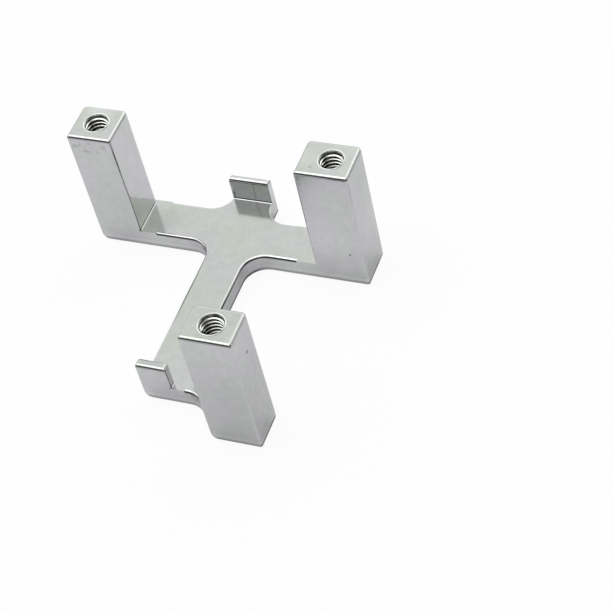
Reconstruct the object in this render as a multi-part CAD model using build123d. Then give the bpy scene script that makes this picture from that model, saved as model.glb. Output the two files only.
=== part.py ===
"""Servo bracket machined from one piece of aluminium, in millimetres.

Origin: middle of the outline's bounding box, on the underside. +Z up through
the posts, +X along the crossbar, +Y from the front post towards the far tab.
"""
import os
from math import radians, tan

from build123d import *

os.makedirs("parts", exist_ok=True)

# Plate
plate_thickness = 1.9
overall_height = 13.25
arm_width = 4.0
arm_step = 0.7
stem_width = 3.84
stem_offset = 7.12
inner_gap = 17.36
front_edge_distance = 16.45
web_width = 3.0
web_length = 5.4
flank_start = 1.45
flank_end = 0.05
neck_end = 0.23

# Posts
left_post_length = 4.25
right_post_length = 4.84
front_post_length = 4.6
front_post_width = 3.6
front_post_gap = 3.53
front_post_reach = 2.92

# Tabs, heights above the underside
tab_top = 4.35
near_tab_length = 2.83
near_tab_thickness = 0.9
far_tab_thickness = 0.68

# Tapped holes, M2, blind
thread_diameter = 2.0
mouth_diameter = 2.2
thread_depth = 8.0
drill_point_angle = 118.0
right_hole_inset = 2.05

# Radii and edge breaks
corner_radius = 2.0
web_corner_radius = 1.0
foot_radius = 1.2
front_corner_radius = 0.2
back_corner_radius = 0.4
tab_corner_radius = 0.2
top_edge_radius = 0.3
tab_edge_radius = 0.3
plate_edge_radius = 0.25
neck_edge_radius = 0.1
bottom_edge_radius = 0.3
root_radius = 0.12

# Where the edge break of the plate's top stops short of a post or tab
left_run_out = 1.6
right_run_out = 1.8
right_back_run_out = 3.2
tab_run_out = 1.25

# Faces of the outline, measured from the left post's front left corner
left_post_right = left_post_length
stem_left = left_post_right + stem_offset
stem_right = stem_left + stem_width
right_post_left = left_post_right + inner_gap
right_post_right = right_post_left + right_post_length
right_front = -arm_step
right_back = right_front + arm_width
near_front = -front_edge_distance
near_back = near_front + web_width
web_right = stem_right + web_length
front_post_left = stem_right + front_post_gap
front_post_right = front_post_left + front_post_length
front_post_front = near_front - front_post_reach
front_post_back = front_post_front + front_post_width
flank_stop = front_post_front + front_corner_radius + flank_end
neck_back = arm_width + corner_radius + neck_end
far_tab_front = neck_back - far_tab_thickness
near_tab_right = stem_left + near_tab_length
near_tab_back = near_front + near_tab_thickness


def rect(x0, x1, y0, y1):
    return Pos((x0 + x1) / 2, (y0 + y1) / 2) * Rectangle(x1 - x0, y1 - y0)


def block(x0, x1, y0, y1, z0, z1):
    return Pos((x0 + x1) / 2, (y0 + y1) / 2, (z0 + z1) / 2) * Box(x1 - x0, y1 - y0, z1 - z0)


def rounded(sketch, x, y, radius):
    corner = sketch.vertices().sort_by_distance((x, y, 0))[0]
    return fillet(corner, radius)


def pillar(x0, x1, y0, y1, top, front_radius, back_radius, edge_radius):
    """Upright block rooted at half the plate's height, its top edges and corners rounded."""
    root = plate_thickness / 2
    corners = [(x, y0, front_radius) for x in (x0, x1)]
    corners += [(x, y1, back_radius) for x in (x0, x1)]
    foot = rect(x0, x1, y0, y1)
    for x, y, radius in corners:
        if radius > edge_radius:
            foot = rounded(foot, x, y, radius)
    solid = Pos(0, 0, root) * extrude(foot, top - root)
    solid = fillet(solid.edges().group_by(Axis.Z)[-1], edge_radius)
    for x, y, radius in corners:
        if 0 < radius <= edge_radius:
            upright = solid.edges().filter_by(Axis.Z).sort_by_distance((x, y, root))[0]
            solid = fillet(upright, radius)
    return solid


def root_fillet(length):
    """Strip of the fillet between the plate and an upright face, along +Y, on the +X side."""
    square = block(0, root_radius, 0, length, 0, root_radius)
    scoop = Pos(root_radius, length / 2, root_radius) * Rot(90, 0, 0) * Cylinder(root_radius, length + 2)
    return square - scoop


def left_round(x, y0, y1):
    """Removed to round the bottom edge of a left face."""
    centre = Pos(x + foot_radius, (y0 + y1) / 2, foot_radius)
    outside = block(x - 1, x + foot_radius, y0, y1, -1, foot_radius)
    return outside - centre * Rot(90, 0, 0) * Cylinder(foot_radius, y1 - y0 + 2)


def back_round(y, x0, x1):
    """Removed to round the bottom edge of a back face."""
    centre = Pos((x0 + x1) / 2, y - foot_radius, foot_radius)
    outside = block(x0, x1, y - foot_radius, y + 1, -1, foot_radius)
    return outside - centre * Rot(0, 90, 0) * Cylinder(foot_radius, x1 - x0 + 2)


def tapped_hole(x, y):
    """Blind bore down from a post's top, with its entry chamfer and drill point."""
    radius = thread_diameter / 2
    mouth = mouth_diameter / 2
    point = radius / tan(radians(drill_point_angle / 2))
    profile = make_face(Polyline(
        (0, 1),
        (mouth, 1),
        (mouth, 0),
        (radius, radius - mouth),
        (radius, -thread_depth),
        (0, -thread_depth - point),
        close=True,
    ))
    return Pos(x, y, overall_height) * revolve(Plane.XZ * profile, Axis.Z)


# Plate outline: crossbar, stem, neck, web and the feet of the posts
outline = rect(0, stem_right, 0, arm_width)
outline += rect(stem_left, right_post_right, right_front, right_back)
outline += rect(stem_left, stem_right, near_front, neck_back)
outline += rect(stem_right, web_right, near_front, near_back)
outline += rect(front_post_left, front_post_right, front_post_front, front_post_back)
outline += make_face(Polyline(
    (stem_right + flank_start, near_front),
    (front_post_left, near_front),
    (front_post_left, flank_stop),
    close=True,
))
for x, y, radius in (
    (stem_left, 0, corner_radius),
    (stem_right, right_front, corner_radius),
    (stem_left, arm_width, corner_radius),
    (stem_right, right_back, corner_radius),
    (stem_right, near_back, corner_radius),
    (stem_right + flank_start, near_front, corner_radius),
    (web_right, near_back, web_corner_radius),
    (web_right, front_post_back, web_corner_radius),
    (0, 0, front_corner_radius),
    (0, arm_width, back_corner_radius),
    (right_post_right, right_front, front_corner_radius),
    (right_post_right, right_back, back_corner_radius),
    (front_post_left, front_post_front, front_corner_radius),
    (front_post_right, front_post_front, front_corner_radius),
    (front_post_right, front_post_back, back_corner_radius),
    (stem_left, near_front, tab_corner_radius),
):
    outline = rounded(outline, x, y, radius)

# Plate, its top edges broken except close to the left and right posts and the near tab
plate = extrude(outline, plate_thickness)
plate = fillet(plate.edges().group_by(Axis.Z)[0], bottom_edge_radius)
bracket = fillet(plate.edges().group_by(Axis.Z)[-1], plate_edge_radius)
right_middle = right_front + arm_width / 2
for zone in (
    block(-1, left_post_right + left_run_out, -1, arm_width + 1, 0, overall_height),
    block(right_post_left - right_run_out, right_post_right + 1, right_front - 1, right_middle,
          0, overall_height),
    block(right_post_left - right_back_run_out, right_post_right + 1, right_middle, right_back + 1,
          0, overall_height),
    block(stem_left - 1, near_tab_right + tab_run_out, near_front - 1, near_tab_back + tab_run_out,
          0, overall_height),
):
    bracket += plate & zone

# Lighter edge break from the far tab down to the back of the right arm
light_plate = fillet(plate.edges().group_by(Axis.Z)[-1], neck_edge_radius)
bracket += light_plate & block((stem_left + stem_right) / 2, right_post_left - right_back_run_out,
                               right_middle, neck_back + 1, 0, overall_height)

# Posts and tabs
bracket += pillar(0, left_post_right, 0, arm_width, overall_height,
                  front_corner_radius, back_corner_radius, top_edge_radius)
bracket += pillar(right_post_left, right_post_right, right_front, right_back, overall_height,
                  front_corner_radius, back_corner_radius, top_edge_radius)
bracket += pillar(front_post_left, front_post_right, front_post_front, front_post_back,
                  overall_height, front_corner_radius, back_corner_radius, top_edge_radius)
bracket += pillar(stem_left, near_tab_right, near_front, near_tab_back, tab_top,
                  tab_corner_radius, tab_corner_radius, tab_edge_radius)
bracket += pillar(stem_left, stem_right, far_tab_front, neck_back, tab_top,
                  0, 0, tab_edge_radius)

# Small fillets where posts and tabs rise from the plate
bracket += Pos(left_post_right, front_corner_radius, plate_thickness) * root_fillet(
    arm_width - front_corner_radius - back_corner_radius)
bracket += Pos(right_post_left, right_back - back_corner_radius, plate_thickness) * Rot(
    0, 0, 180) * root_fillet(arm_width - front_corner_radius - back_corner_radius)
bracket += Pos(near_tab_right, near_front + tab_corner_radius, plate_thickness) * root_fillet(
    near_tab_thickness - 2 * tab_corner_radius)
bracket += Pos(stem_left, near_tab_back, plate_thickness) * Rot(0, 0, 90) * Pos(
    0, -near_tab_length + tab_corner_radius, 0) * root_fillet(near_tab_length - 2 * tab_corner_radius)
bracket += Pos(stem_left, far_tab_front, plate_thickness) * Rot(0, 0, -90) * root_fillet(stem_width)
bracket += Pos(front_post_left, front_post_back - back_corner_radius, plate_thickness) * Rot(
    0, 0, 180) * root_fillet(front_post_back - back_corner_radius - flank_stop - 2 * plate_edge_radius)
bracket += Pos(web_right, front_post_back, plate_thickness) * Rot(0, 0, 90) * root_fillet(
    web_right - front_post_left - back_corner_radius)

# Rounded feet
bracket -= left_round(0, -1, arm_width + 1)
bracket -= left_round(stem_left, near_front - 1, -corner_radius)
bracket -= left_round(front_post_left, front_post_front - 1, flank_stop)
bracket -= back_round(right_back, right_post_left, right_post_right + 1)
bracket -= back_round(front_post_back, web_right + web_corner_radius, front_post_right + 1)

# Tapped holes
bracket -= tapped_hole(left_post_length / 2, arm_width / 2)
bracket -= tapped_hole(right_post_right - right_hole_inset, right_middle)
bracket -= tapped_hole(front_post_left + front_post_length / 2,
                       front_post_front + front_post_width / 2)

bracket = Pos(-right_post_right / 2, -(front_post_front + neck_back) / 2, 0) * bracket
bracket.label = "servo_bracket"
export_step(bracket, "parts/servo_bracket.step")
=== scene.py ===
import math

import bpy
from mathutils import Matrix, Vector


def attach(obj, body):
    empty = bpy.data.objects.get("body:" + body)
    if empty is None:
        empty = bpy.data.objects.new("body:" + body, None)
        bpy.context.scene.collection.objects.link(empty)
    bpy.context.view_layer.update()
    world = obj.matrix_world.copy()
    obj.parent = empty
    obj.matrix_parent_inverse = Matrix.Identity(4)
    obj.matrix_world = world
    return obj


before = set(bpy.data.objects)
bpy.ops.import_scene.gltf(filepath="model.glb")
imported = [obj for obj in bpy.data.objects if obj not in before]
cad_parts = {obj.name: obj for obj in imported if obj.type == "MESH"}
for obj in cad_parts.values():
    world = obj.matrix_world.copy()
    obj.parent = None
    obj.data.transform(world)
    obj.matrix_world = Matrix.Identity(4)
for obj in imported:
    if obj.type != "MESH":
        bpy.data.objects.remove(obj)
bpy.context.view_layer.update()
root = "root"
mm = 0.001
scene = bpy.context.scene
scene.view_settings.view_transform = "Standard"


def inMetres(point):
    return [v * mm for v in point]


def addNode(tree, kind, **settings):
    node = tree.nodes.new(kind)
    for name, value in settings.items():
        setattr(node, name, value)
    return node


# a socket is linked, anything else becomes the input's own value
def feed(socket, value):
    if isinstance(value, bpy.types.NodeSocket):
        socket.id_data.links.new(value, socket)
    else:
        socket.default_value = value


def setInputs(node, **values):
    for name, value in values.items():
        feed(node.inputs[name], value)
    return node


def calc(tree, operation, *values, clamp=False):
    node = addNode(tree, "ShaderNodeMath", operation=operation, use_clamp=clamp)
    for value, socket in zip(values, node.inputs):
        feed(socket, value)
    return node.outputs[0]


def vectorCalc(tree, operation, first, second):
    node = addNode(tree, "ShaderNodeVectorMath", operation=operation)
    feed(node.inputs[0], first)
    feed(node.inputs[1], second)
    return node.outputs["Value" if operation in ("DOT_PRODUCT", "DISTANCE") else "Vector"]


def scaled(tree, vector, amount):
    node = addNode(tree, "ShaderNodeVectorMath", operation="SCALE")
    feed(node.inputs[0], vector)
    feed(node.inputs["Scale"], amount)
    return node.outputs["Vector"]


def axes(tree, vector):
    return setInputs(addNode(tree, "ShaderNodeSeparateXYZ"), Vector=vector).outputs


def combined(tree, **parts):
    return setInputs(addNode(tree, "ShaderNodeCombineXYZ"), **parts).outputs[0]


# smooth run from low at start to high at full
def ramp(tree, value, start, full, low=0.0, high=1.0):
    node = addNode(tree, "ShaderNodeMapRange", interpolation_type="SMOOTHSTEP")
    setInputs(node, **{"Value": value, "From Min": start, "From Max": full,
                       "To Min": low, "To Max": high})
    return node.outputs["Result"]


def noise(tree, vector, **values):
    return setInputs(addNode(tree, "ShaderNodeTexNoise"), Vector=vector, **values).outputs["Fac"]


def mixShaders(tree, share, first, second):
    node = addNode(tree, "ShaderNodeMixShader")
    for value, socket in zip((share, first.outputs[0], second.outputs[0]), node.inputs):
        feed(socket, value)
    return node.outputs[0]


def newMaterial(name):
    material = bpy.data.materials.new(name)
    material.use_nodes = True
    material.node_tree.nodes.clear()
    return material, material.node_tree


# each socket's name with its kind: Float, Vector or Color
def newGroup(name, inputs, outputs):
    group = bpy.data.node_groups.new(name, "ShaderNodeTree")
    for side, kinds in (("INPUT", inputs), ("OUTPUT", outputs)):
        for label, kind in kinds.items():
            group.interface.new_socket(label, in_out=side, socket_type="NodeSocket" + kind)
    given = addNode(group, "NodeGroupInput").outputs
    return group, given, addNode(group, "NodeGroupOutput").inputs


def useGroup(tree, group, **values):
    return setInputs(addNode(tree, "ShaderNodeGroup", node_tree=group), **values).outputs


def metalSurface(tree, colour, roughness, normal):
    metal = setInputs(addNode(tree, "ShaderNodeBsdfPrincipled"), **{
        "Base Color": colour, "Metallic": 1.0, "Roughness": roughness, "Normal": normal})
    setInputs(addNode(tree, "ShaderNodeOutputMaterial"), Surface=metal.outputs[0])


# camera, almost 48 degrees above the bench; place in mm, clip in metres
camera = {
    "place": (65.198, -91.757, 121.26),
    "turn": (0.720395, 0.173669, 0.347852),
    "lens": 110.639,
    "sensor": 36.0,
    "clip": (0.005, 20.0),
}
cameraData = bpy.data.cameras.new("benchCamera")
cameraData.lens = camera["lens"]
cameraData.sensor_width = camera["sensor"]
cameraData.clip_start, cameraData.clip_end = camera["clip"]
cameraObject = bpy.data.objects.new("benchCamera", cameraData)
cameraObject.location = Vector(camera["place"]) * mm
cameraObject.rotation_euler = camera["turn"]
scene.collection.objects.link(cameraObject)
scene.camera = cameraObject
print("camera set")

# sky: soft lights and reflectors round the bench
sky = {
    "tint": (0.965, 1.0, 0.94, 1.0),
    "background": (1.0, 1.0, 1.0, 1.0),
    # azimuth, height and reach in degrees, then level
    "lights": [
        (36, 10, 32, 0.44),
        (108, 10, 32, 0.15),
        (144, 10, 32, 0.77),
        (45, 40, 32, 0.25),
        (90, 40, 32, 1.14),
        (180, 40, 32, 1.01),
        (225, 40, 32, 0.28),
        (180, 68, 30, 0.47),
        (270, 68, 30, 0.58),
        (0, 90, 28, 0.87),
        (235, 55, 18, 0.14),
    ],
    "coreShare": 0.15,    # full up to here of its reach
    "fadeShare": 1.35,    # gone from here on
    "darkGap": (255, 10, 28, 34),    # azimuth, height, full and gone, in degrees
    "gapLevel": 0.04,
    "floorLevel": 0.11,    # never darker than this
}
world = bpy.data.worlds.new("lightTent")
scene.world = world
world.use_nodes = True
tree = world.node_tree
tree.nodes.clear()
direction = addNode(tree, "ShaderNodeTexCoord").outputs["Generated"]


def skyPatch(azimuth, height, core, fade, low, high):
    turn, lift = math.radians(azimuth), math.radians(height)
    middle = (math.cos(turn) * math.cos(lift), math.sin(turn) * math.cos(lift), math.sin(lift))
    towards = vectorCalc(tree, "DOT_PRODUCT", direction, middle)
    start, full = math.cos(math.radians(fade)), math.cos(math.radians(core))
    return ramp(tree, towards, start, full, low, high)


level = None
for azimuth, height, reach, strength in sky["lights"]:
    core, fade = reach * sky["coreShare"], reach * sky["fadeShare"]
    patch = skyPatch(azimuth, height, core, fade, 0.0, strength)
    level = patch if level is None else calc(tree, "ADD", level, patch)
azimuth, height, full, gone = sky["darkGap"]
gap = skyPatch(azimuth, height, full, gone, 1.0, sky["gapLevel"])
level = calc(tree, "MAXIMUM", calc(tree, "MULTIPLY", level, gap), sky["floorLevel"])
tent = setInputs(addNode(tree, "ShaderNodeBackground"), Color=sky["tint"], Strength=level)
backdrop = setInputs(addNode(tree, "ShaderNodeBackground"), Color=sky["background"], Strength=1.0)
seen = addNode(tree, "ShaderNodeLightPath").outputs["Is Camera Ray"]
setInputs(addNode(tree, "ShaderNodeOutputWorld"), Surface=mixShaders(tree, seen, tent, backdrop))
print("sky set,", len(sky["lights"]), "lights")

# bench top, white, keeps the bracket's soft shadow
bench = {
    "halfSize": 1.5,
    "paper": (0.95, 0.92, 0.99, 1.0),
    "glowSeen": 0.93,       # share of plain white that the camera sees
    "glowMirrored": 0.15,   # and that the metal mirrors
}
paper, tree = newMaterial("benchPaper")
matt = setInputs(addNode(tree, "ShaderNodeBsdfDiffuse"), Color=bench["paper"])
white = setInputs(addNode(tree, "ShaderNodeEmission"), Strength=1.0)
rays = addNode(tree, "ShaderNodeLightPath").outputs
mirrored = calc(tree, "MAXIMUM", rays["Is Glossy Ray"], rays["Is Transmission Ray"])
mirroredGlow = calc(tree, "MULTIPLY", mirrored, bench["glowMirrored"])
glow = calc(tree, "MULTIPLY_ADD", rays["Is Camera Ray"], bench["glowSeen"], mirroredGlow)
setInputs(addNode(tree, "ShaderNodeOutputMaterial"), Surface=mixShaders(tree, glow, matt, white))
half = bench["halfSize"]
benchMesh = bpy.data.meshes.new("benchTop")
corners = [(-half, -half, 0), (half, -half, 0), (half, half, 0), (-half, half, 0)]
benchMesh.from_pydata(corners, [], [(0, 1, 2, 3)])
benchMesh.materials.append(paper)
benchTop = bpy.data.objects.new("benchTop", benchMesh)
scene.collection.objects.link(benchTop)
print("bench set")

# finish shared by everything cut in the metal
finish = {
    "cloudScale": 1300.0,    # clouds under a millimetre
    "cloudDepth": 0.19,
    "cloudDetail": 3.0,
    "cloudRoughness": 0.55,
    "tintScale": 380.0,
    "tintDetail": 2.0,
    "green": (0.38, (0.985, 1.012, 0.975, 1.0)),    # place on the ramp, and colour
    "violet": (0.62, (1.008, 0.992, 1.035, 1.0)),
    "grainScale": 4200.0,
    "grainDepth": 0.12,
    "grainDetail": 1.0,
    "waveScale": 1400.0,
    "waveDetail": 2.0,
    "waveHeight": 0.0000016,
    "raggedScale": 3500.0,    # noise on the edges of spots
    "raggedDetail": 2.0,
    "spotFade": (1.5, 1.0),    # none and full, in radii with the noise added
    "zoneTurn": (0.7, 0.97),    # how squarely a face looks the zone's way, none and full
    "bores": ((-11.1, 8.57), (11.175, 7.87), (7.815, -11.0)),    # middles of the holes, mm
}
noiseMean = 0.5
cloudyFinish, given, result = newGroup(
    "cloudyFinish",
    {"Vector": "Vector", "Cloud Scale": "Float", "Cloud Depth": "Float"},
    {"Shade": "Float", "Tint": "Color", "Normal": "Vector"})
clouds = noise(cloudyFinish, given["Vector"], Scale=given["Cloud Scale"],
               Detail=finish["cloudDetail"], Roughness=finish["cloudRoughness"])
centred = calc(cloudyFinish, "SUBTRACT", clouds, noiseMean)
grain = noise(cloudyFinish, given["Vector"],
              Scale=finish["grainScale"], Detail=finish["grainDetail"])
grainBase = 1.0 - noiseMean * finish["grainDepth"]
grainShade = calc(cloudyFinish, "MULTIPLY_ADD", grain, finish["grainDepth"], grainBase)
feed(result["Shade"],
     calc(cloudyFinish, "MULTIPLY_ADD", centred, given["Cloud Depth"], grainShade))
tintNoise = noise(cloudyFinish, given["Vector"],
                  Scale=finish["tintScale"], Detail=finish["tintDetail"])
tintRamp = setInputs(addNode(cloudyFinish, "ShaderNodeValToRGB"), Fac=tintNoise)
for index, name in enumerate(("green", "violet")):
    stop = tintRamp.color_ramp.elements[index]
    stop.position, stop.color = finish[name]
feed(result["Tint"], tintRamp.outputs["Color"])
waves = noise(cloudyFinish, given["Vector"],
              Scale=finish["waveScale"], Detail=finish["waveDetail"])
bump = setInputs(addNode(cloudyFinish, "ShaderNodeBump"),
                 Strength=1.0, Distance=finish["waveHeight"], Height=waves)
feed(result["Normal"], bump.outputs["Normal"])

# soft dark spot with a ragged edge
spotMask, given, result = newGroup(
    "spotMask",
    {"Vector": "Vector", "Centre": "Vector", "Radius": "Float"}, {"Mask": "Float"})
away = vectorCalc(spotMask, "DISTANCE", given["Vector"], given["Centre"])
ragged = noise(spotMask, given["Vector"],
               Scale=finish["raggedScale"], Detail=finish["raggedDetail"])
edge = calc(spotMask, "ADD", calc(spotMask, "DIVIDE", away, given["Radius"]), ragged)
feed(result["Mask"], ramp(spotMask, edge, *finish["spotFade"]))

# straight mark from start to end; Width is half of its width
scratchMask, given, result = newGroup(
    "scratchMask",
    {"Vector": "Vector", "Start": "Vector", "End": "Vector", "Width": "Float"},
    {"Mask": "Float"})
along = vectorCalc(scratchMask, "SUBTRACT", given["End"], given["Start"])
offset = vectorCalc(scratchMask, "SUBTRACT", given["Vector"], given["Start"])
run = vectorCalc(scratchMask, "DOT_PRODUCT", offset, along)
whole = vectorCalc(scratchMask, "DOT_PRODUCT", along, along)
nearestPoint = scaled(scratchMask, along, calc(scratchMask, "DIVIDE", run, whole, clamp=True))
away = vectorCalc(scratchMask, "DISTANCE", offset, nearestPoint)
feed(result["Mask"], ramp(scratchMask, away, 0.0, given["Width"], 1.0, 0.0))

# how far a point lies from the nearest hole's middle line
boreDistance, given, result = newGroup(
    "boreDistance", {"Vector": "Vector"}, {"Distance": "Float"})
flat = vectorCalc(boreDistance, "MULTIPLY", given["Vector"], (1.0, 1.0, 0.0))
nearest = None
for x, y in finish["bores"]:
    away = vectorCalc(boreDistance, "DISTANCE", flat, inMetres((x, y, 0.0)))
    nearest = away if nearest is None else calc(boreDistance, "MINIMUM", nearest, away)
feed(result["Distance"], nearest)

# painted light and shade: a broad soft zone on the faces that look one way, lighter or darker
# than the rest
paintedShadeZone, given, result = newGroup(
    "paintedShadeZone",
    {"Shade": "Float", "Vector": "Vector", "Normal": "Vector", "Centre": "Vector",
     "Facing": "Vector", "Radius": "Float", "Change": "Float"},
    {"Shade": "Float"})
away = vectorCalc(paintedShadeZone, "DISTANCE", given["Vector"], given["Centre"])
near = ramp(paintedShadeZone, away, given["Radius"], 0.0)
looking = vectorCalc(paintedShadeZone, "DOT_PRODUCT", given["Normal"], given["Facing"])
zone = calc(paintedShadeZone, "MULTIPLY", near, ramp(paintedShadeZone, looking, *finish["zoneTurn"]))
factor = calc(paintedShadeZone, "MULTIPLY_ADD", zone, given["Change"], 1.0)
feed(result["Shade"], calc(paintedShadeZone, "MULTIPLY", given["Shade"], factor))

# bracket's own metal, the marks it carries, and the light and shade painted on it
bracket = {
    "colour": (0.578, 0.578, 0.581),
    "roughness": 0.13,
    # painted highlights and shade on edges, each a band of upward slopes: none, full, full, none;
    # then how much brighter or darker
    "paintedEdgeHighlight": (0.74, 0.84, 0.96, 0.99, 0.32),
    "paintedEdgeShade": (0.04, 0.16, 0.62, 0.76, 0.75),    # painted shade: the dark line under it
    "paintedRightEdgeHighlight": (0.35, 0.55, 0.88, 0.97, 0.40),   # painted highlight: right top edges are bright all over
    # painted highlight on the plate's left edges
    "paintedLeftPlateHighlight": (0.05, 0.25, 0.85, 0.95, 0.65),
    "paintedLeftEdgeShade": 0.35,                          # painted shade on the posts' front left corners
    "plateTop": (2.4, 2.1, 0.5),    # posts above, plate below, and what posts keep of front edges
    # how far a face has turned: none and full
    "frontWay": (0.12, -0.99, 0.0),
    "frontTurn": (0.0, 0.15),
    "rightTurn": (0.15, 0.35),
    "rightFootTurn": (0.4, 0.7),
    "leftTurn": (-0.15, -0.5),      # left faces, and the front ones beside them
    # centre, radius and how dark, in mm
    "spots": [
        ((-12.62, 6.57, 12.14), 0.30, 0.20),
        ((-12.21, 6.57, 12.21), 0.24, 0.16),
        ((-11.77, 6.57, 11.67), 0.28, 0.20),
        ((-11.37, 6.57, 11.60), 0.24, 0.12),
        ((-11.20, 6.57, 12.62), 0.26, 0.15),
        ((-10.58, 6.57, 11.70), 0.26, 0.12),
        ((-9.80, 6.57, 12.40), 0.34, 0.15),
        ((-12.85, 6.57, 11.95), 0.15, 0.16),
        ((-12.35, 6.57, 11.70), 0.14, 0.14),
        ((-12.04, 6.57, 12.45), 0.16, 0.20),
        ((-11.62, 6.57, 12.30), 0.15, 0.16),
        ((-11.10, 6.57, 12.10), 0.17, 0.14),
        ((-10.85, 6.57, 11.90), 0.13, 0.16),
        ((-10.30, 6.57, 12.15), 0.15, 0.12),
        ((-9.62, 6.57, 11.95), 0.16, 0.14),
        ((11.97, 5.87, 3.80), 0.13, 0.75),
        ((10.12, -10.82, 10.21), 0.15, 0.90),
        ((9.68, 6.76, 13.25), 0.16, 0.20),
        ((3.50, -10.10, 1.85), 1.10, 0.24),
    ],
    # start, end, half width and how dark
    "scratches": [
        ((0.52, 12.12, 4.42), (0.38, 12.12, 1.90), 0.17, 0.25),
        ((13.225, 6.02, 12.50), (13.225, 5.93, 10.30), 0.09, 0.26),
        ((8.45, 5.87, 12.40), (8.45, 5.87, 2.00), 0.12, 0.16),
    ],
    # painted light and shade: centre, radius, which way its faces look, change
    "paintedZones": [
        ((-7.0, 6.57, 0.9), 6.0, (0, -1, 0), 0.20),
        ((6.0, 5.87, 0.9), 3.5, (0, -1, 0), 0.12),
        ((11.0, 5.87, 4.5), 6.0, (0, -1, 0), 0.11),
        ((9.3, 5.87, 2.2), 2.2, (0, -1, 0), -0.06),
        ((4.0, -9.88, 1.0), 2.4, (0, -1, 0), -0.10),
        ((-0.4, -9.4, 4.35), 1.6, (0, 0, 1), -0.10),
        ((1.985, 12.4, 3.0), 2.2, (1, 0, 0), 0.12),
        ((9.2, 7.8, 13.25), 1.6, (0, 0, 1), 0.08),
        ((7.8, -12.8, 6.5), 5.5, (0, -1, 0), -0.11),
        ((7.8, -12.2, 13.25), 1.6, (0, 0, 1), -0.07),
        ((6.5, -12.8, 1.5), 4.0, (0, -1, 0), -0.10),
        ((10.12, -11.0, 7.0), 8.0, (1, 0, 0), -0.12),
        ((13.23, 7.9, 11.0), 6.0, (1, 0, 0), -0.12),
        ((-11.5, 10.0, 13.25), 2.2, (0, 0, 1), 0.14),
        ((12.0, 8.5, 13.25), 3.0, (0, 0, 1), 0.05),
        ((-7.1, 8.4, 1.9), 2.2, (0, 0, 1), -0.13),
    ],
    "paintedBoreShade": (1.06, 1.01, 0.60),           # painted shade inside the bores: from, full, how much darker inside
    "paintedFootHighlight": (0.95, 0.70, 0.50, 0.16),    # painted highlight, a band above the underside: end, middle, end, gain
    "paintedFootShadow": (0.55, 0.34, 0.30, 0.50),     # painted contact shadow: from, full, loss, further loss on right faces
}
clearAluminium, tree = newMaterial("clearAluminium")
place = addNode(tree, "ShaderNodeTexCoord").outputs["Object"]
surface = addNode(tree, "ShaderNodeNewGeometry").outputs["Normal"]
height = axes(tree, place)["Z"]
slope = axes(tree, surface)


# darker under the mask, or brighter where the amount is below zero
def keepLess(shade, mask, amount):
    return calc(tree, "MULTIPLY", shade, calc(tree, "MULTIPLY_ADD", mask, -amount, 1.0))


def times(first, second):
    return calc(tree, "MULTIPLY", first, second)


def slopeBand(low, lowFull, highFull, high):
    return times(ramp(tree, slope["Z"], low, lowFull), ramp(tree, slope["Z"], high, highFull))


cloud = useGroup(tree, cloudyFinish, **{
    "Vector": place, "Cloud Scale": finish["cloudScale"], "Cloud Depth": finish["cloudDepth"]})
kept = cloud["Shade"]
for centre, radius, dark in bracket["spots"]:
    spot = useGroup(tree, spotMask, Vector=place, Centre=inMetres(centre), Radius=radius * mm)
    kept = keepLess(kept, spot["Mask"], dark)
for begin, stop, width, dark in bracket["scratches"]:
    scratch = useGroup(tree, scratchMask, Vector=place,
                       Start=inMetres(begin), End=inMetres(stop), Width=width * mm)
    kept = keepLess(kept, scratch["Mask"], dark)

# painted highlight in a band at the foot, and a painted contact shadow under it
upper, middle, lower, gain = bracket["paintedFootHighlight"]
above = ramp(tree, height, upper * mm, middle * mm)
below = ramp(tree, height, lower * mm, middle * mm)
kept = keepLess(kept, times(above, below), -gain)
start, full, loss, rightFootShadow = bracket["paintedFootShadow"]
foot = ramp(tree, height, start * mm, full * mm)
kept = keepLess(kept, foot, loss)

# painted shade inside the bores
bore = useGroup(tree, boreDistance, Vector=place)
start, full, loss = bracket["paintedBoreShade"]
kept = keepLess(kept, ramp(tree, bore["Distance"], start * mm, full * mm), loss)
# painted light and shade in broad zones
for centre, radius, facing, change in bracket["paintedZones"]:
    zone = useGroup(tree, paintedShadeZone, Shade=kept, Vector=place, Normal=surface,
                    Centre=inMetres(centre), Facing=facing, Radius=radius * mm, Change=change)
    kept = zone["Shade"]
# more painted contact shadow at the foot of right faces
footRight = ramp(tree, slope["X"], *bracket["rightFootTurn"])
kept = keepLess(kept, times(footRight, foot), rightFootShadow)

# edges: painted highlights on top of the front and right ones, and painted shade below
leftward = ramp(tree, slope["X"], *bracket["leftTurn"])
frontward = ramp(tree, slope["Y"], *bracket["leftTurn"])
postFrom, plateFrom, postShare = bracket["plateTop"]
onPosts = ramp(tree, height, plateFrom * mm, postFrom * mm)
onPlate = ramp(tree, height, postFrom * mm, plateFrom * mm)
kept = keepLess(kept, times(times(leftward, frontward), onPosts), bracket["paintedLeftEdgeShade"])
*band, gain = bracket["paintedLeftPlateHighlight"]
kept = keepLess(kept, times(times(slopeBand(*band), leftward), onPlate), -gain)
*band, gain = bracket["paintedRightEdgeHighlight"]
rightward = ramp(tree, slope["X"], *bracket["rightTurn"])
kept = keepLess(kept, times(slopeBand(*band), rightward), -gain)
facingFront = vectorCalc(tree, "DOT_PRODUCT", surface, bracket["frontWay"])
wanted = times(ramp(tree, facingFront, *bracket["frontTurn"]),
               ramp(tree, height, postFrom * mm, plateFrom * mm, postShare, 1.0))
*band, gain = bracket["paintedEdgeHighlight"]
kept = keepLess(kept, times(slopeBand(*band), wanted), -gain)
*band, loss = bracket["paintedEdgeShade"]
kept = keepLess(kept, times(slopeBand(*band), wanted), loss)

tinted = vectorCalc(tree, "MULTIPLY", cloud["Tint"], bracket["colour"])
metalSurface(tree, scaled(tree, tinted, kept), bracket["roughness"], cloud["Normal"])
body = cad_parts["servo_bracket"]
for slot in body.material_slots:
    slot.material = clearAluminium
print("bracket finished,", len(body.data.polygons), "faces")

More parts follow.
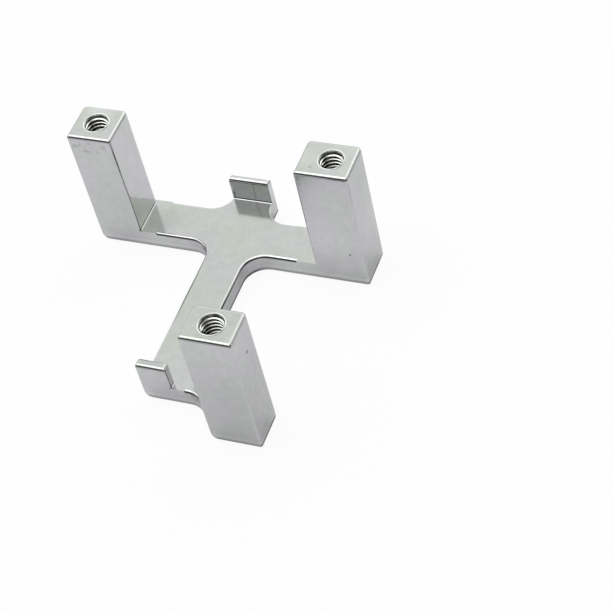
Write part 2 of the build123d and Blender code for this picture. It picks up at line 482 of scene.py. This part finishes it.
# tapped holes: thread turns, and the burr round each mouth; lengths in mm
holes = {
    "top": 13.25,                            # height of the mouths
    "startAngles": (297.0, 329.0, 275.0),    # where each thread starts, in degrees
    "Pitch": 0.4,
    "Turns": 18.0,
    "Start Depth": 0.3,
    "Root Radius": 1.008,
    "Crest Radius": 0.885,
    "Root Half": 0.175,    # half heights of the ridge, at root and crest
    "Crest Half": 0.09,
    "Fade": 0.35,          # turns over which the thread rises
    "leastRise": 0.03,     # of the ridge, at the very start
    "sunk": 0.05,          # of the ridge's height, in the wall
    "Rim Radius": 1.14,
    "Rim Tube": 0.065,
    "spiralSteps": 48,
    "rimSteps": 72,
    "tubeSteps": 10,
    "sharpAngle": 30.0,
    "cutColour": (0.97, 0.97, 0.97),
    "cutRoughness": 0.16,
    "cutClouds": (2600.0, 0.35),    # scale and depth
    "crest": (0.905, 0.89, 0.10),   # painted shade on the thread crests: from, full, and what they keep
    "paintedDepthShade": (12.9, 11.5, 0.72),    # painted shade deeper in the bore: heights over which turns go darker, and what they keep
    "rimColour": (0.95, 0.95, 0.955),
    "rimRoughness": 0.3,
    "rimClouds": (1500.0, 0.5),
}


def bareMetal(name, colour, roughness, cloudScale, cloudDepth):
    material, tree = newMaterial(name)
    place = addNode(tree, "ShaderNodeTexCoord").outputs["Object"]
    cloud = useGroup(tree, cloudyFinish, **{
        "Vector": place, "Cloud Scale": cloudScale, "Cloud Depth": cloudDepth})
    bore = useGroup(tree, boreDistance, Vector=place)
    # painted shade on the thread crests and deeper in the bore
    start, full, keeps = holes["crest"]
    crest = ramp(tree, bore["Distance"], start * mm, full * mm, 1.0, keeps)
    upper, lower, keeps = holes["paintedDepthShade"]
    depthShade = ramp(tree, axes(tree, place)["Z"], upper * mm, lower * mm, 1.0, keeps)
    shade = calc(tree, "MULTIPLY", calc(tree, "MULTIPLY", cloud["Shade"], crest), depthShade)
    metalSurface(tree, scaled(tree, colour, shade), roughness, cloud["Normal"])
    return material


cutThread = bareMetal("cutThread", holes["cutColour"], holes["cutRoughness"], *holes["cutClouds"])
rubbedRim = bareMetal("rubbedRim", holes["rimColour"], holes["rimRoughness"], *holes["rimClouds"])

tree = bpy.data.node_groups.new("tappedMouth", "GeometryNodeTree")
tree.interface.new_socket("Geometry", in_out="INPUT", socket_type="NodeSocketGeometry")
lengths = ["Pitch", "Start Depth", "Root Radius", "Crest Radius", "Root Half", "Crest Half",
           "Rim Radius", "Rim Tube"]
counts = ["Turns", "Fade"]
coats = {"Thread Material": cutThread, "Rim Material": rubbedRim}
sockets = {}
for names, kind in ((lengths + counts, "NodeSocketFloat"), (coats, "NodeSocketMaterial")):
    for name in names:
        sockets[name] = tree.interface.new_socket(name, in_out="INPUT", socket_type=kind)
tree.interface.new_socket("Geometry", in_out="OUTPUT", socket_type="NodeSocketGeometry")
given = addNode(tree, "NodeGroupInput").outputs


def minus(value):
    return calc(tree, "MULTIPLY", value, -1.0)


# spiral down the bore
fallen = minus(calc(tree, "MULTIPLY", given["Pitch"], given["Turns"]))
spiral = setInputs(addNode(tree, "GeometryNodeCurveSpiral"), **{
    "Resolution": holes["spiralSteps"], "Rotations": given["Turns"], "Height": fallen,
    "Start Radius": given["Root Radius"], "End Radius": given["Root Radius"]})
drop = combined(tree, Z=minus(given["Start Depth"]))
lowered = setInputs(addNode(tree, "GeometryNodeTransform"),
                    Geometry=spiral.outputs[0], Translation=drop)
upright = setInputs(addNode(tree, "GeometryNodeSetCurveNormal", mode="Z_UP"),
                    Curve=lowered.outputs["Geometry"])

# ridge that runs along it
rise = calc(tree, "SUBTRACT", given["Root Radius"], given["Crest Radius"])
bed = calc(tree, "MULTIPLY", rise, -holes["sunk"])
ridge = setInputs(addNode(tree, "GeometryNodeCurvePrimitiveQuadrilateral", mode="POINTS"), **{
    "Point 1": combined(tree, X=bed, Y=minus(given["Root Half"])),
    "Point 2": combined(tree, X=rise, Y=minus(given["Crest Half"])),
    "Point 3": combined(tree, X=rise, Y=given["Crest Half"]),
    "Point 4": combined(tree, X=bed, Y=given["Root Half"])})
along = addNode(tree, "GeometryNodeSplineParameter").outputs["Factor"]
risen = calc(tree, "DIVIDE", calc(tree, "MULTIPLY", along, given["Turns"]), given["Fade"])
risen = calc(tree, "MAXIMUM", calc(tree, "MINIMUM", risen, 1.0), holes["leastRise"])
thread = setInputs(addNode(tree, "GeometryNodeCurveToMesh"), **{
    "Curve": upright.outputs["Curve"], "Profile Curve": ridge.outputs[0],
    "Scale": risen, "Fill Caps": True})

# burr round the mouth
mouth = setInputs(addNode(tree, "GeometryNodeCurvePrimitiveCircle"),
                  Resolution=holes["rimSteps"], Radius=given["Rim Radius"])
tube = setInputs(addNode(tree, "GeometryNodeCurvePrimitiveCircle"),
                 Resolution=holes["tubeSteps"], Radius=given["Rim Tube"])
rim = setInputs(addNode(tree, "GeometryNodeCurveToMesh"), **{
    "Curve": mouth.outputs[0], "Profile Curve": tube.outputs[0]})

# one set on each mouth's point
turned = setInputs(addNode(tree, "GeometryNodeInputNamedAttribute", data_type="FLOAT"),
                   Name="threadStart")
spin = combined(tree, Z=turned.outputs["Attribute"])
joined = addNode(tree, "GeometryNodeJoinGeometry")
for part, name in ((thread, "Thread Material"), (rim, "Rim Material")):
    spread = setInputs(addNode(tree, "GeometryNodeInstanceOnPoints"),
                       Points=given["Geometry"], Instance=part.outputs[0], Rotation=spin)
    solid = setInputs(addNode(tree, "GeometryNodeRealizeInstances"), Geometry=spread.outputs[0])
    coat = setInputs(addNode(tree, "GeometryNodeSetMaterial"),
                     Geometry=solid.outputs[0], Material=given[name])
    feed(joined.inputs[0], coat.outputs[0])
feed(addNode(tree, "NodeGroupOutput").inputs[0], joined.outputs[0])

mouthMesh = bpy.data.meshes.new("holeMouths")
mouthMesh.from_pydata([inMetres((x, y, holes["top"])) for x, y in finish["bores"]], [], [])
starts = mouthMesh.attributes.new("threadStart", "FLOAT", "POINT")
starts.data.foreach_set("value", [math.radians(angle) for angle in holes["startAngles"]])
mouthPoints = bpy.data.objects.new("holeMouths", mouthMesh)
scene.collection.objects.link(mouthPoints)
cutting = mouthPoints.modifiers.new("tappedMouth", "NODES")
cutting.node_group = tree
for name in lengths:
    cutting[sockets[name].identifier] = holes[name] * mm
for name in counts:
    cutting[sockets[name].identifier] = holes[name]
for name, coat in coats.items():
    cutting[sockets[name].identifier] = coat
ready = mouthPoints.evaluated_get(bpy.context.evaluated_depsgraph_get())
threadMesh = bpy.data.meshes.new_from_object(ready)
threadMesh.name = "threadTurns"
threadMesh.polygons.foreach_set("use_smooth", [True] * len(threadMesh.polygons))
threadMesh.set_sharp_from_angle(angle=math.radians(holes["sharpAngle"]))
threadTurns = bpy.data.objects.new("threadTurns", threadMesh)
scene.collection.objects.link(threadTurns)
bpy.data.objects.remove(mouthPoints)
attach(threadTurns, root)
print("threads cut,", len(threadMesh.polygons), "faces")
